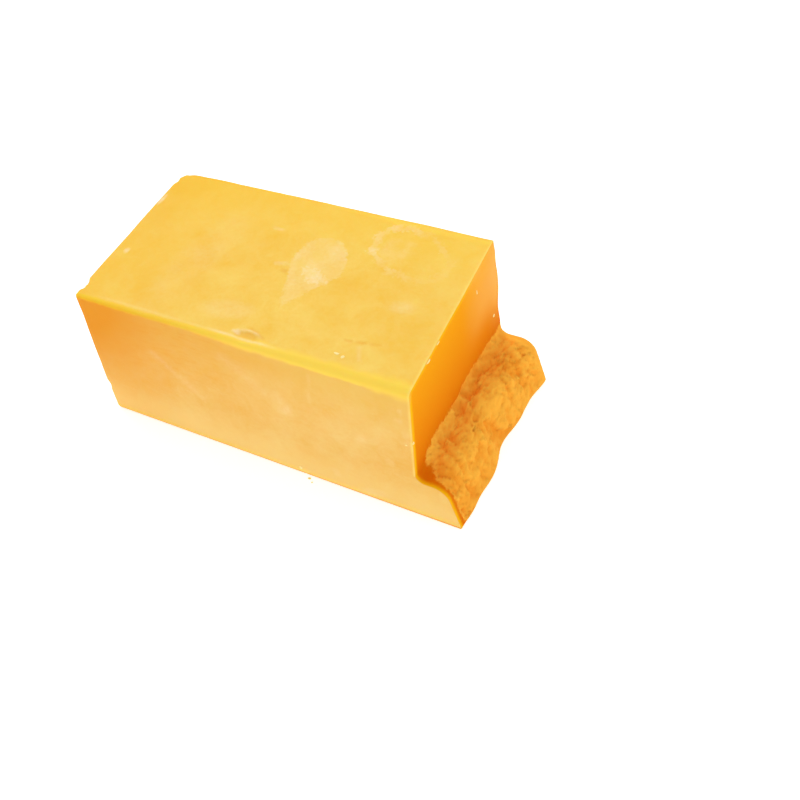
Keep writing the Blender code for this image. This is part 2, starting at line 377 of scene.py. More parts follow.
def normals_of(place, faces):
    """Each vertex's direction: the sum of its faces' cross products of diagonals, made unit."""
    corners = place[faces]
    facing = np.cross(corners[:, 2] - corners[:, 0], corners[:, 3] - corners[:, 1])
    facing /= np.linalg.norm(facing, axis=1, keepdims=True) + 1e-12
    total = np.zeros_like(place)
    for corner in range(4):
        np.add.at(total, faces[:, corner], facing)
    return total / (np.linalg.norm(total, axis=1, keepdims=True) + 1e-12)


def scoop(place, middle, half_length, depth):
    """A chip from the upper left edge: points inside a lumpy ball go out to its surface."""
    share = (middle - FRONT_LEAN_LEFT) / (LEFT_WIDTH - BACK_LEAN_LEFT - FRONT_LEAN_LEFT)
    edge = np.array([
        LEFT_END_LEAN * (1.0 - share),
        middle,
        blend(LEFT_FRONT_HEIGHT, LEFT_BACK_HEIGHT, share),
    ])
    out = np.array([-1.0, 0.0, 0.6]) / np.hypot(1.0, 0.6)
    centre = edge + out * (CHIP_BALL - depth)
    size = np.array([CHIP_BALL, half_length, CHIP_BALL])
    reach = (place - centre) / size
    distance = np.linalg.norm(reach, axis=1, keepdims=True)
    lumpy = 1.0 + 0.10 * lumps(place, 3.0, 11)[:, None] + 0.04 * lumps(place, 1.2, 12)[:, None]
    pushed = centre + reach * size * lumpy / distance
    return np.where(distance < lumpy, pushed, place), (distance < lumpy * 1.03)[:, 0]


def torn_ridges(y, along):
    """The ridges of the source: a half wave for each scale, |sin|, bowed and wandering, with a
    finer wave on it, faded near the front and at both ends of the tear."""
    bowed = y + RIDGE_BOW * along * (1.0 - along) + PITCH_WANDER * np.sin(0.31 * y + 4.0 * along)
    scale = np.abs(np.sin(np.pi * bowed / RIDGE_PITCH)) - 0.6
    fine = 0.3 * np.sin(2.0 * np.pi * (1.7 * y / RIDGE_PITCH + 1.6 * along))
    fade = ease(y, QUIET_FRONT, QUIET_FRONT + RIDGE_RAMP)
    return RIDGE_DEPTH * (scale + fine) * fade * np.sqrt(np.clip(np.sin(np.pi * along), 0.0, 1.0))


def plates(u, v, size, seed):
    """A face broken into plates: every lattice cell has one point at a random place, and each
    place takes the height and slope of its nearest point. Also returns the distance to the
    crack, which is half of the second nearest distance less the nearest."""
    draw = np.random.default_rng(seed)
    lattice = 48
    jitter = draw.uniform(0.0, 1.0, (lattice, lattice, 2))
    level = draw.uniform(-1.0, 1.0, (lattice, lattice))
    slope = draw.uniform(-1.0, 1.0, (lattice, lattice, 2))
    spot = np.stack([u, v], -1) / size + lattice
    cell = np.floor(spot).astype(int)
    nearest = np.full(u.shape, 9.0)
    second = np.full(u.shape, 9.0)
    height = np.zeros(u.shape)
    for step_u, step_v in np.ndindex(3, 3):
        there = cell + (step_u - 1, step_v - 1)
        i, j = np.moveaxis(there % lattice, -1, 0)
        away = spot - there - jitter[i, j]
        distance = np.hypot(away[..., 0], away[..., 1])
        closer = distance < nearest
        second = np.where(closer, nearest, np.minimum(second, distance))
        nearest = np.where(closer, distance, nearest)
        height = np.where(closer, 0.5 * level[i, j] + 0.8 * np.sum(slope[i, j] * away, axis=-1), height)
    return height, 0.5 * (second - nearest)


place = out_of_true(base)
chipped = np.zeros(len(base), bool)
for middle, half_length, depth in CHIPS:
    place, in_chip = scoop(place, middle, half_length, depth)
    chipped |= in_chip

right_columns = np.zeros((round_count, loop_count))
right_columns[:, sides["right"]] = 1.0
tear_columns = np.zeros((round_count, loop_count))
tear_columns[:, sides["right"]] = tear_along
run_columns = np.zeros((round_count, loop_count))
steps_up = np.linalg.norm(np.diff(skin[:, sides["right"]][..., [0, 2]], axis=1), axis=-1)
run_columns[:, sides["right"]] = np.pad(np.cumsum(steps_up, axis=1), ((0, 0), (1, 0)))
fresh = np.zeros(len(base))
fresh[:skin_index.size] = (right_columns * rise).reshape(-1)
tear = np.zeros(len(base))
tear[:skin_index.size] = tear_columns.reshape(-1)
run_up = np.zeros(len(base))
run_up[:skin_index.size] = run_columns.reshape(-1)

normal = normals_of(place, quads)
x, y, z = np.moveaxis(place, -1, 0)
facing_x, facing_y, facing_z = np.moveaxis(normal, -1, 0)
on_top = ease(facing_z, 0.5, 0.9)
on_front = ease(-facing_y, 0.5, 0.9)
above_floor = ease(z, 0.2, 3.0)
quiet_front = blend(QUIET_FRONT, 1.2, ease(tear, 0.15, 0.5))
inland = ease(y, quiet_front, quiet_front + blend(RIDGE_RAMP, 4.0, ease(tear, 0.15, 0.5)))
break_line = z + 1.3 * lumps(place, 6.0, 38) + 0.5 * lumps(place, 2.0, 39)
low_cut = inland * (1.0 - ease(break_line, 25.0, 26.8)) * (z > SHELF_HEIGHT)
torn = fresh * inland * np.maximum(ease(tear, 0.0, 0.06), low_cut)


def oval(u, v, middle, reach, turn=0.0, soft=0.3):
    """1 inside a turned oval and 0 outside, eased across its rim: the distance from the middle
    in shares of the reach along each axis, eased from 1 - soft to 1 + soft."""
    cos, sin = np.cos(np.radians(turn)), np.sin(np.radians(turn))
    du, dv = u - middle[0], v - middle[1]
    distance = np.hypot((du * cos + dv * sin) / reach[0], (dv * cos - du * sin) / reach[1])
    return 1.0 - ease(distance, 1.0 - soft, 1.0 + soft)


def stroke(u, v, first, last, width):
    """1 on a straight line between two places, falling off as exp(-(distance / width)^2)."""
    run = np.subtract(last, first)
    share = ((u - first[0]) * run[0] + (v - first[1]) * run[1]) / np.dot(run, run)
    share = np.clip(share, 0.0, 1.0)
    distance = np.hypot(u - first[0] - share * run[0], v - first[1] - share * run[1])
    return np.exp(-(distance / width) ** 2)


def inside(u, v, corners):
    """How far each place lies inside a closed outline: the distance to its nearest straight
    side, taken below 0 where a level line from the place crosses the sides an even number of
    times."""
    nearest = np.full(u.shape, 1.0e3)
    within = np.zeros(u.shape, bool)
    for first, last in zip(corners, corners[1:] + corners[:1]):
        run = np.subtract(last, first)
        share = ((u - first[0]) * run[0] + (v - first[1]) * run[1]) / np.dot(run, run)
        share = np.clip(share, 0.0, 1.0)
        distance = np.hypot(u - first[0] - share * run[0], v - first[1] - share * run[1])
        nearest = np.minimum(nearest, distance)
        between = (first[1] > v) != (last[1] > v)
        within ^= between & (u < first[0] + run[0] * (v - first[1]) / run[1])
    return np.where(within, nearest, -nearest)


# The pressed faces are almost flat, with a slow wave of a quarter of a millimetre
wave = 0.24 * lumps(place, 26.0, 1) + 0.10 * lumps(place, 9.0, 2) + 0.035 * lumps(place, 3.0, 3)
relief = wave * blend(1.0, 0.45, fresh) * above_floor

# The torn face breaks along the curd into scales and flakes, on the ridges that the source has
bent_y = y + 1.6 * lumps(place, 7.0, 31) + 0.22 * run_up
bent_run = run_up + 1.6 * lumps(place, 7.0, 32)
scale_height, scale_crack = plates(bent_y, bent_run / 1.5, 6.4, 33)
flake_height, flake_crack = plates(bent_y + 0.5 * bent_run, bent_run / 1.2, 2.2, 34)
grip = np.clip(0.5 + 0.7 * lumps(place, 6.0, 37), 0.0, 1.0)
scales = 0.85 * scale_height - 0.30 * grip * (1.0 - ease(scale_crack, 0.0, 0.14))
flakes = (0.30 + 0.45 * grip) * flake_height - 0.16 * (1.0 - ease(flake_crack, 0.0, 0.2))
crumble = 0.26 * lumps(place, 1.3, 35) + 0.4 * lumps(place, 5.0, 36)
off_floor = ease(z, 0.1, 1.8)
tear_height = (0.45 * torn_ridges(y, tear) + (scales + flakes + crumble) * off_floor) * torn
tear_height = tear_height * (1.0 - 0.9 * ease(y, CUT_WIDTH - 4.5, CUT_WIDTH - 0.8))
relief = relief + tear_height

# The cut bows out a little by its back edge, where the slice pulled at it
bow = ease(z, 34.0, 46.0) * (1.0 - 0.5 * ease(z, 49.0, 57.0)) * (1.0 - ease(z, 60.5, 65.0))
relief = relief + 0.75 * bow * ease(y, 48.0, 76.0) * fresh

# Dents pressed into the top: a thumbnail's crescent by the front edge, a shallow ring and dimples
crescent_distance = np.hypot((x - 73.4) / 5.0, (y - 4.3) / 2.7)
crescent = 1.0 - ease(crescent_distance, 0.7, 1.0)
crescent_rim = np.exp(-((crescent_distance - 1.08) / 0.16) ** 2) * ease(y, 4.4, 5.8) * (1.0 - ease(x, 75.5, 79.0))
ring_places = [
    (97.0, 53.9), (95.2, 56.0), (93.6, 59.9), (93.0, 65.1), (94.8, 68.8), (98.4, 71.2), (104.7, 72.0),
    (113.3, 69.4), (118.7, 65.1), (122.4, 60.9), (123.6, 54.6), (121.0, 50.6), (111.4, 48.2), (103.0, 49.6),
]
ring_in = inside(x, y, ring_places)
ring = np.exp(-((ring_in - 1.2 * lumps(place, 4.0, 21)) / 1.5) ** 2)
dimples = oval(x, y, (54.9, 56.2), (2.0, 1.0), 10.0, 0.5) + oval(x, y, (67.8, 38.4), (1.4, 1.4), 0.0, 0.5)
marks = stroke(x, y, (105.6, 15.0), (108.2, 15.2), 0.5) + stroke(x, y, (109.8, 15.3), (112.6, 15.9), 0.55)
marks = (marks + stroke(x, y, (115.0, 16.2), (117.6, 16.8), 0.5)) * (0.8 + 0.5 * lumps(place, 1.4, 40))
relief = relief + on_top * (0.22 * crescent_rim - 0.5 * crescent + 0.07 * ring - 0.25 * dimples - 0.12 * marks)
nick = oval(x, z, (0.0, 14.0), (1.5, 2.4), 0.0, 0.5) * (y < 3.0)
relief = relief - 0.5 * nick
# The far upper corner of the left end is worn round: it goes in towards the middle of the bar
blunted = np.exp(-np.sum((place - (1.0, 75.0, 62.6)) ** 2, axis=1) / 3.5 ** 2)
place = place + normal * relief[:, None] + blunted[:, None] * (1.7, -0.7, -0.4)
place[:, 2] = np.maximum(place[:, 2], 0.0)

# Pale bloom: dry, whitish smears on the wax-smooth skin, mixed with painted highlights on a dent's rim. The
# largest smear is a leaf-shaped scrape with a brighter heart. Its outline, and that of the ring, are kept as distances
# in mm.
smear_in = inside(x, y, [
    (76.5, 20.4), (72.1, 33.7), (68.9, 42.3), (68.7, 47.0), (69.4, 53.3), (72.1, 56.5), (76.9, 58.4), (81.3, 57.3),
    (85.9, 53.0), (88.9, 46.5), (89.0, 40.8), (86.8, 37.0), (85.2, 34.6), (82.8, 31.6), (81.0, 27.8), (79.0, 25.0),
])
heart_in = inside(x, y, [
    (74.4, 41.0), (77.0, 42.3), (80.8, 42.0), (83.6, 39.8), (86.9, 37.3), (84.3, 34.9), (80.2, 34.6), (76.8, 36.2),
])
smear_share = 0.30 + 0.20 * lumps(place, 3.0, 22) + 0.22 * oval(x, y, (84.4, 50.6), (3.4, 5.0), 40.0, 0.7)
smear_share = smear_share + 0.16 * np.exp(-((smear_in - 1.2) / 1.2) ** 2) * (1.0 - ease(x, 70.0, 76.0))
smear_share = smear_share - 0.14 * oval(x, y, (77.5, 49.0), (3.6, 3.0), 0.0, 0.6)
smear_share = smear_share + 0.16 * oval(x, y, (77.6, 43.4), (3.4, 2.6), 0.0, 0.6)
smear_share = np.clip(smear_share * blend(0.75, 1.0, ease(y, 24.0, 34.0)), 0.0, 1.0)
ring_share = np.clip(0.30 + 0.40 * lumps(place, 3.0, 23), 0.0, 1.0) * blend(1.2, 0.4, ease(x, 98.0, 114.0))
band = oval(x, y, (35.5, 31.0), (7.5, 25.0), -8.0, 0.5) * (0.5 + 0.5 * lumps(place, 5.0, 25))
top_bloom_and_highlights = 0.22 * band
top_bloom_and_highlights = top_bloom_and_highlights + 0.20 * oval(x, y, (102.0, 60.5), (6.0, 7.0), 0.0, 0.5) * (0.6 + 0.9 * lumps(place, 2.4, 24))
top_bloom_and_highlights = top_bloom_and_highlights + 0.34 * oval(x, y, (117.0, 35.0), (4.0, 2.6), 10.0, 0.6)
# The thumbnail dent's rim and the spot beside it are painted highlights
top_bloom_and_highlights = top_bloom_and_highlights + 0.25 * oval(x, y, (60.0, 13.5), (9.0, 4.0), 10.0, 0.5) + 0.75 * crescent_rim
top_bloom_and_highlights = top_bloom_and_highlights + 0.8 * oval(x, y, (69.0, 5.4), (1.1, 0.8), 0.0, 0.5)
top_bloom_and_highlights = top_bloom_and_highlights + 0.5 * stroke(x, y, (64.3, 39.7), (68.2, 41.0), 0.7)
top_bloom_and_highlights = top_bloom_and_highlights + 0.45 * stroke(x, y, (54.0, 56.4), (57.2, 56.6), 0.6)
top_bloom_and_highlights = top_bloom_and_highlights + 0.3 * stroke(x, y, (111.6, 13.5), (114.1, 8.7), 0.7)
left_flecks = oval(x, y, (2.2, 56.5), (0.8, 3.2), 0.0, 0.4) + oval(x, y, (6.9, 26.8), (1.0, 1.3), 0.0, 0.4)
top_bloom_and_highlights = top_bloom_and_highlights + 0.9 * left_flecks

streaks = 0.24 * stroke(x, z, (30.9, 43.4), (48.1, 25.6), 1.3) + 0.16 * stroke(x, z, (63.0, 53.0), (78.0, 41.0), 2.4)
streaks = streaks + 0.2 * stroke(x, z, (98.4, 58.0), (96.4, 44.0), 0.6)
patch = oval(x, z, (84.6, 37.0), (3.0, 5.4), 24.0, 0.5) * (0.7 + 0.5 * lumps(place, 2.0, 26))
speck_places = [
    ((131.5, 54.1), (0.8, 1.3)),
    ((130.5, 49.2), (1.6, 1.1)),
    ((132.9, 42.7), (1.3, 1.5)),
    ((132.6, 37.8), (1.5, 1.0)),
    ((114.8, 32.4), (2.4, 1.6)),
    ((125.7, 25.6), (1.8, 1.5)),
    ((102.3, 8.3), (1.4, 2.2)),
    ((117.0, 4.2), (5.5, 2.0)),
]
specks = sum(oval(x, z, middle, reach, 15.0, 0.5) for middle, reach in speck_places)
front_bloom = streaks + 0.36 * patch + 0.30 * specks * (0.8 + 0.4 * lumps(place, 1.6, 42))
hidden_side = (1.0 - on_top) * (1.0 - on_front)
slanting = np.stack([(x + y + 0.9 * z) / 7.0, z - 0.9 * (x + y), 0.0 * z], -1)
steeper = np.stack([(x + y + 1.6 * z) / 9.0, z - 1.6 * (x + y), 0.0 * z], -1)
rubbed = 0.30 * ease(lumps(slanting, 2.2, 47), 0.45, 0.95) * ease(lumps(place, 14.0, 54), -0.1, 0.6)
rubbed = rubbed + 0.36 * ease(lumps(steeper, 1.3, 55), 0.62, 0.98) * ease(lumps(place, 10.0, 56), 0.0, 0.6)
rubbed = rubbed + 0.30 * ease(lumps(place, 2.6, 57), 0.62, 0.9) + 0.16 * ease(lumps(place, 11.0, 48), 0.1, 0.9)
bloom_and_highlights = on_top * top_bloom_and_highlights + on_front * front_bloom + hidden_side * rubbed
bloom_and_highlights = np.clip(bloom_and_highlights, 0.0, 1.0) * (1.0 - fresh)

# Where each place stands against the edges of the faces
top_height = blend(
    blend(LEFT_FRONT_HEIGHT, CUT_FRONT_HEIGHT, x / CUT_AT),
    blend(LEFT_BACK_HEIGHT, CUT_BACK_HEIGHT, x / CUT_AT),
    y / CUT_WIDTH,
)
front_skin = blend(FRONT_LEAN_LEFT, FRONT_LEAN_CUT, x / CUT_AT) * z / CUT_FRONT_HEIGHT
back_skin = blend(LEFT_WIDTH, CUT_WIDTH, x / CUT_AT) - blend(BACK_LEAN_LEFT, BACK_LEAN_CUT, x / CUT_AT) * z / CUT_FRONT_HEIGHT
from_front = y - front_skin
from_back = back_skin - y
from_top = top_height - z
from_cut = cut_x(y / CUT_WIDTH, z) - x

# Deeper colour, partly the cheese's own and partly painted shade. Painted shade: on the front towards
# the left end, deepest high up, and along the front's upper part; in the marks and the thumbnail dent
# on the top; and along the foot. The cheese's own: towards the left end of the top, on the back and
# the left end, in the chips and in a line along the outer edges
front_left_shade = np.exp(-(x / 33.0) ** 2) * (0.24 + 0.76 * ease(z, 6.0, 46.0))
# Painted shade on the front: towards its left end, deepest high up, and along its upper part
deep_tone_and_shade = on_front * (0.9 * front_left_shade + 0.30 * ease(z, 36.0, 60.0) * (1.0 - ease(x, 60.0, 110.0)))
deep_tone_and_shade = deep_tone_and_shade + hidden_side * (0.14 + 0.16 * lumps(place, 30.0, 27))
# Painted shadow in the marks and in the thumbnail dent, with a darker line along its lower rim; and a deeper tone
# towards the left end of the top
deep_tone_and_shade = deep_tone_and_shade + on_top * (0.4 * marks + 0.12 * (1.0 - ease(x, 0.0, 26.0)) * ease(y, 20.0, 60.0))
deep_tone_and_shade = deep_tone_and_shade + on_top * (0.06 * (1.0 - ease(x, 20.0, 76.0)) + 0.25 * crescent)
deep_tone_and_shade = deep_tone_and_shade + 0.3 * on_top * stroke(x, y, (72.6, 8.4), (78.9, 6.0), 0.6)
deep_tone_and_shade = deep_tone_and_shade + 0.35 * on_top * oval(x, y, (69.2, 37.2), (1.4, 1.0), 0.0, 0.6)
outer_edge = np.maximum(ease(facing_y, 0.1, 0.4), ease(-facing_x, 0.1, 0.4)) * ease(facing_z, 0.05, 0.25)
outer_edge = np.maximum(outer_edge, ease(-facing_x, 0.2, 0.6) * ease(-facing_y, 0.15, 0.4))
outer_edge = np.maximum(outer_edge, 0.5 * on_top * (1.0 - ease(from_back, 0.9, 2.2)))
outer_edge = outer_edge * (1.0 - chipped) * np.clip(0.75 + 0.6 * lumps(place, 5.0, 58), 0.0, 1.0)
# Painted contact shade along the foot of the sides
foot_contact_shade = (1.0 - on_top) * (1.0 - ease(z, 0.5, 1.5))
deep_tone_and_shade = deep_tone_and_shade + 0.5 * outer_edge + (0.55 + 0.35 * on_front) * foot_contact_shade + 0.08 * chipped
deep_tone_and_shade = np.clip(deep_tone_and_shade, 0.0, 1.0) * (1.0 - fresh)

# The rounded front edge of the top is painted a clear yellow, free of bloom: painted light, the glow of
# light coming through the thin rounded edge, with a painted highlight line along its middle; the back and lower edges
# are a little worn too
reach = blend(1.15, 2.8, ease(x, 30.0, 105.0)) * (1.0 + 0.22 * lumps(place, 4.0, 43) + 0.12 * lumps(place, 1.7, 46))
near_cut = ease(x, 116.0, 133.0)
fade_start = (blend(0.35, 0.8, ease(x, 60.0, 105.0)) - 0.35 * near_cut) * reach
fade_end = (blend(1.7, 1.3, ease(x, 60.0, 105.0)) + 0.9 * near_cut) * reach
front_edge_glow = (1.0 - ease(from_top, fade_start, fade_end)) * (1.0 - ease(from_front, 0.7 * reach, 1.9 * reach))
front_edge_glow = front_edge_glow * blend(0.8, 1.0, ease(x, 30.0, 80.0))
back_reach = blend(2.0, 4.6, ease(x, 60.0, 112.0)) * (1.0 + 0.15 * lumps(place, 5.0, 44))
worn_back = on_top * (1.0 - ease(from_back, 0.5 * back_reach, 1.1 * back_reach))
worn_foot = on_front * (1.0 - ease(z, 1.6, 4.0)) * ease(z, 0.8, 1.6)
wear_and_edge_glow = np.maximum(front_edge_glow, 0.6 * worn_back * (1.0 - outer_edge)) + 0.4 * worn_foot
wear_and_edge_glow = np.clip(wear_and_edge_glow, 0.0, 1.0) * (1.0 - fresh)
# A painted highlight line where the top turns down into the front edge
lip_highlight = np.exp(-((from_front - 2.4) / 0.5) ** 2) * on_top
lip_highlight = lip_highlight * (0.3 + 0.7 * ease(x, 58.0, 64.0)) * ease(x, 8.0, 20.0) * (1.0 - ease(x, 78.0, 88.0))
bloom_and_highlights = np.clip(bloom_and_highlights + 0.75 * lip_highlight * (0.9 + 0.3 * lumps(place, 5.0, 28)), 0.0, 1.0)

# Where the knife left a crisp edge the light comes through it: a pale line on the skin's side
# and a clear yellow one on the cut's side. The cut dries paler by its back edge.
uneven = 0.75 + 0.5 * lumps(place, 3.2, 41)
edge_pale = on_top * (1.0 - ease(from_cut, 0.25, 1.0))
edge_pale = edge_pale + on_front * (z > 22.0) * (1.0 - ease(from_cut, 0.2, 1.3))
edge_pale = edge_pale + 1.4 * on_front * oval(x, z, (87.9, 2.2), (1.5, 1.3), 0.0, 0.6)
edge_pale = np.clip(edge_pale * uneven + 0.8 * lip_highlight, 0.0, 1.0) * (1.0 - fresh)
cut_top_glow = np.maximum(1.0 - ease(from_top, 0.3, 2.0), 0.5 * ease(y, 44.0, 72.0) * (1.0 - ease(from_top, 1.0, 12.0)))
cut_front_glow = 1.0 - ease(from_front, 0.3, 2.2)
edge_clear = fresh * np.maximum(cut_top_glow, cut_front_glow)
cut_pale = 0.55 * ease(z, 32.0, 50.0) * ease(y, 42.0, 66.0) + 0.35 * ease(z, 24.0, 36.0) * ease(y, 64.0, 77.0)
cut_pale = fresh * cut_pale * (0.95 + 0.3 * lumps(place, 6.0, 45))

low_corner = np.array(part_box("cheddar_block")[0]) / METRES


def make_mesh(name, place, faces):
    """One mesh of quads, put in as whole arrays, in metres in the frame of the CAD model."""
    mesh = bpy.data.meshes.new(name)
    mesh.vertices.add(len(place))
    mesh.vertices.foreach_set("co", ((place + low_corner) * METRES).ravel())
    mesh.loops.add(faces.size)
    mesh.loops.foreach_set("vertex_index", faces.ravel())
    mesh.polygons.add(len(faces))
    mesh.polygons.foreach_set("loop_start", np.arange(len(faces)) * faces.shape[1])
    mesh.update(calc_edges=True)
    mesh.validate()
    mesh.polygons.foreach_set("use_smooth", np.ones(len(faces), bool))
    piece = bpy.data.objects.new(name, mesh)
    bpy.context.collection.objects.link(piece)
    return piece


block = make_mesh("cheddar_block_dressed", place, quads)
masks = {
    "side": 1.0 - on_top,
    "fresh": fresh,
    "torn": np.maximum(torn, 0.2 * chipped),
    # Painted shade in the low creases of the torn face
    "crease_shade": np.clip(0.10 - 0.45 * tear_height, 0.0, 0.6) * torn,
    "bloom_and_highlights": bloom_and_highlights,
    "deep_tone_and_shade": deep_tone_and_shade,
    "wear_and_edge_glow": wear_and_edge_glow,
    "edge_gold_share": 1.0 - ease(x, 24.0, 84.0),
    "strata": on_front * (1.0 - ease(x, 40.0, 100.0)) * ease(z, 16.0, 44.0) + 0.35 * hidden_side,
    "edge_pale": 0.65 * edge_pale,
    "edge_clear": edge_clear,
    "cut_pale": cut_pale,
    "smear_in": smear_in,
    "smear_share": smear_share * on_top,
    "heart_in": heart_in,
    "heart_share": np.clip(0.80 + 0.35 * lumps(place, 1.8, 53), 0.0, 1.0) * on_top,
    "ring_in": ring_in,
    "ring_share": ring_share * on_top,
    "upper": ease(z, 36.0, 60.0),
    "lower": (1.0 - on_top) * (1.0 - ease(z, 3.0, 24.0)),
    "gold": on_top * (0.5 * ease(y, 40.0, 76.0) + 0.3 * (1.0 - ease(x, 0.0, 50.0))),
}
for name, values in masks.items():
    layer = block.data.attributes.new(name, "FLOAT", "POINT")
    layer.data.foreach_set("value", values)


def to_linear(code):
    """sRGB to linear: c / 12.92 up to 0.04045, then ((c + 0.055) / 1.055) to the power 2.4."""
    share = np.array([int(code[first:first + 2], 16) for first in (1, 3, 5)]) / 255.0
    linear = np.where(share <= 0.04045, share / 12.92, ((share + 0.055) / 1.055) ** 2.4)
    return (*linear, 1.0)


def add(tree, kind, settings, links):
    """Adds one node. A setting is a property of the node, or else the value of a socket by name
    or number. A link brings another node's output to a socket."""
    node = tree.nodes.new(kind)
    for name, value in settings.items():
        if isinstance(name, str) and hasattr(node, name):
            setattr(node, name, value)
        else:
            node.inputs[name].default_value = value
    for name, source in links.items():
        tree.links.new(source, node.inputs[name])
    return node


# Annatto cheddar: a firm, fatty, slightly see-through cheese coloured with annatto. Its skin has
# a soft wax sheen and a faint marbling of curds. Light soaks into it, so thin edges glow.
TOP_DEEP = "#F0BE48"
TOP_PALE = "#F5D16A"
TOP_GOLD = "#F4C640"
SIDE_DEEP = "#E9B050"
SIDE_PALE = "#EEC675"
# Side colours in painted shade high up and in painted light bounced from the floor low down
SIDE_UPPER_SHADE = "#E8BB57"
SIDE_LOWER_LIT = "#F4CF7C"
# Deeper orange: the cheese's deeper tone, and painted shade
DEEP_ORANGE_AND_SHADE = "#E2911E"
# Cut colours: fresh cheese with painted shade and painted bounced orange light in them, the lower one darker
CUT_HIGH = "#F09B06"
CUT_LOW_SHADED = "#DF7202"
CUT_EDGE = "#F4B40C"
CUT_DRY = "#F6AF52"
TORN_MATTE = "#FFBB42"
CREASE_SHADE_ORANGE = "#EC8410"
# Pale bloom colour, also used for painted highlights
PALE_BLOOM_AND_HIGHLIGHT = "#F8DCA4"
# Edge yellows: the painted glow of light through the thin front edge, and worn edges
EDGE_YELLOW = "#F9D454"
EDGE_GOLD = "#F3C630"
EDGE_CREAM = "#FBDF7C"
CURD_SIZE = 9.0
MOTTLE_SIZE = 24.0
GRAIN_SIZE = 1.3
PORE_SIZE = 0.45
MIXED = 2

cheddar = bpy.data.materials.new("annatto_cheddar")
cheddar.use_nodes = True
tree = cheddar.node_tree
tree.nodes.clear()
coordinates = add(tree, "ShaderNodeTexCoord", {}, {})
bar = add(
    tree,
    "ShaderNodeMapping",
    {"Scale": (1.0 / METRES,) * 3, "Location": tuple(-low_corner)},
    {"Vector": coordinates.outputs["Object"]},
)
mask = {name: add(tree, "ShaderNodeAttribute", {"attribute_name": name}, {}).outputs["Fac"] for name in masks}
mottle = add(
    tree,
    "ShaderNodeTexNoise",
    {"Scale": 1.0 / MOTTLE_SIZE, "Detail": 4.0, "Roughness": 0.6, "Distortion": 0.6},
    {"Vector": bar.outputs["Vector"]},
)
curds = add(
    tree,
    "ShaderNodeTexNoise",
    {"Scale": 1.0 / CURD_SIZE, "Detail": 3.0, "Roughness": 0.55, "Distortion": 1.2},
    {"Vector": bar.outputs["Vector"]},
)
grain = add(
    tree,
    "ShaderNodeTexNoise",
    {"Scale": 1.0 / GRAIN_SIZE, "Detail": 3.0, "Roughness": 0.6},
    {"Vector": bar.outputs["Vector"]},
)
# The curds were pressed flat, so the finest marbling lies in level layers
flattened = add(tree, "ShaderNodeMapping", {"Scale": (0.2, 0.2, 1.0)}, {"Vector": bar.outputs["Vector"]})
layers = add(
    tree,
    "ShaderNodeTexNoise",
    {"Scale": 1.0 / GRAIN_SIZE, "Detail": 3.0, "Roughness": 0.65},
    {"Vector": flattened.outputs["Vector"]},
)
pores = add(
    tree,
    "ShaderNodeTexNoise",
    {"Scale": 1.0 / PORE_SIZE, "Detail": 2.0},
    {"Vector": bar.outputs["Vector"]},
)
patchy = add(tree, "ShaderNodeMath", {"operation": "MULTIPLY_ADD", 1: 0.48, 2: 0.0}, {0: mottle.outputs["Fac"]})
patchy = add(tree, "ShaderNodeMath", {"operation": "MULTIPLY_ADD", 1: 0.26}, {0: curds.outputs["Fac"], 2: patchy.outputs[0]})
patchy = add(tree, "ShaderNodeMath", {"operation": "MULTIPLY_ADD", 1: 0.11}, {0: layers.outputs["Fac"], 2: patchy.outputs[0]})
patchy = add(tree, "ShaderNodeMath", {"operation": "MULTIPLY_ADD", 1: 0.15}, {0: grain.outputs["Fac"], 2: patchy.outputs[0]})
marbling = add(tree, "ShaderNodeMapRange", {"From Min": 0.36, "From Max": 0.64}, {"Value": patchy.outputs[0]})


def mix(first, second, share):
    """Two colours mixed by a mask. Each is a hex value or another node's output."""
    settings = {"data_type": "RGBA"}
    links = {0: share}
    for socket, colour in ((6, first), (7, second)):
        if isinstance(colour, str):
            settings[socket] = to_linear(colour)
        else:
            links[socket] = colour
    return add(tree, "ShaderNodeMix", settings, links).outputs[MIXED]


top_colour = mix(TOP_DEEP, TOP_PALE, marbling.outputs["Result"])
side_colour = mix(SIDE_DEEP, SIDE_PALE, marbling.outputs["Result"])
# Painted light on the sides: painted shade higher up, and painted light bounced from the floor low down
upper_shade_share = add(tree, "ShaderNodeMath", {"operation": "MULTIPLY", 1: 0.6}, {0: mask["upper"]})
side_colour = mix(side_colour, SIDE_UPPER_SHADE, upper_shade_share.outputs[0])
lower_light_share = add(tree, "ShaderNodeMath", {"operation": "MULTIPLY", 1: 0.7}, {0: mask["lower"]})
side_colour = mix(side_colour, SIDE_LOWER_LIT, lower_light_share.outputs[0])
top_colour = mix(top_colour, TOP_GOLD, mask["gold"])
colour = mix(top_colour, side_colour, mask["side"])
# Deeper orange, partly the cheese's own tone and partly painted shade
colour = mix(colour, DEEP_ORANGE_AND_SHADE, mask["deep_tone_and_shade"])
# Thin level streaks, where the curd layers meet the front near the end of the bar
seams = add(tree, "ShaderNodeMapRange", {"From Min": 0.48, "From Max": 0.72, "To Max": 0.34}, {"Value": layers.outputs["Fac"]})
seams = add(tree, "ShaderNodeMath", {"operation": "MULTIPLY"}, {0: seams.outputs["Result"], 1: mask["strata"]})
colour = mix(colour, DEEP_ORANGE_AND_SHADE, seams.outputs[0])
# Painted light: the glow through the thin front edge; and some wear on the back and lower edges
colour = mix(colour, mix(EDGE_YELLOW, EDGE_GOLD, mask["edge_gold_share"]), mask["wear_and_edge_glow"])
split = add(tree, "ShaderNodeSeparateXYZ", {}, {"Vector": bar.outputs["Vector"]})
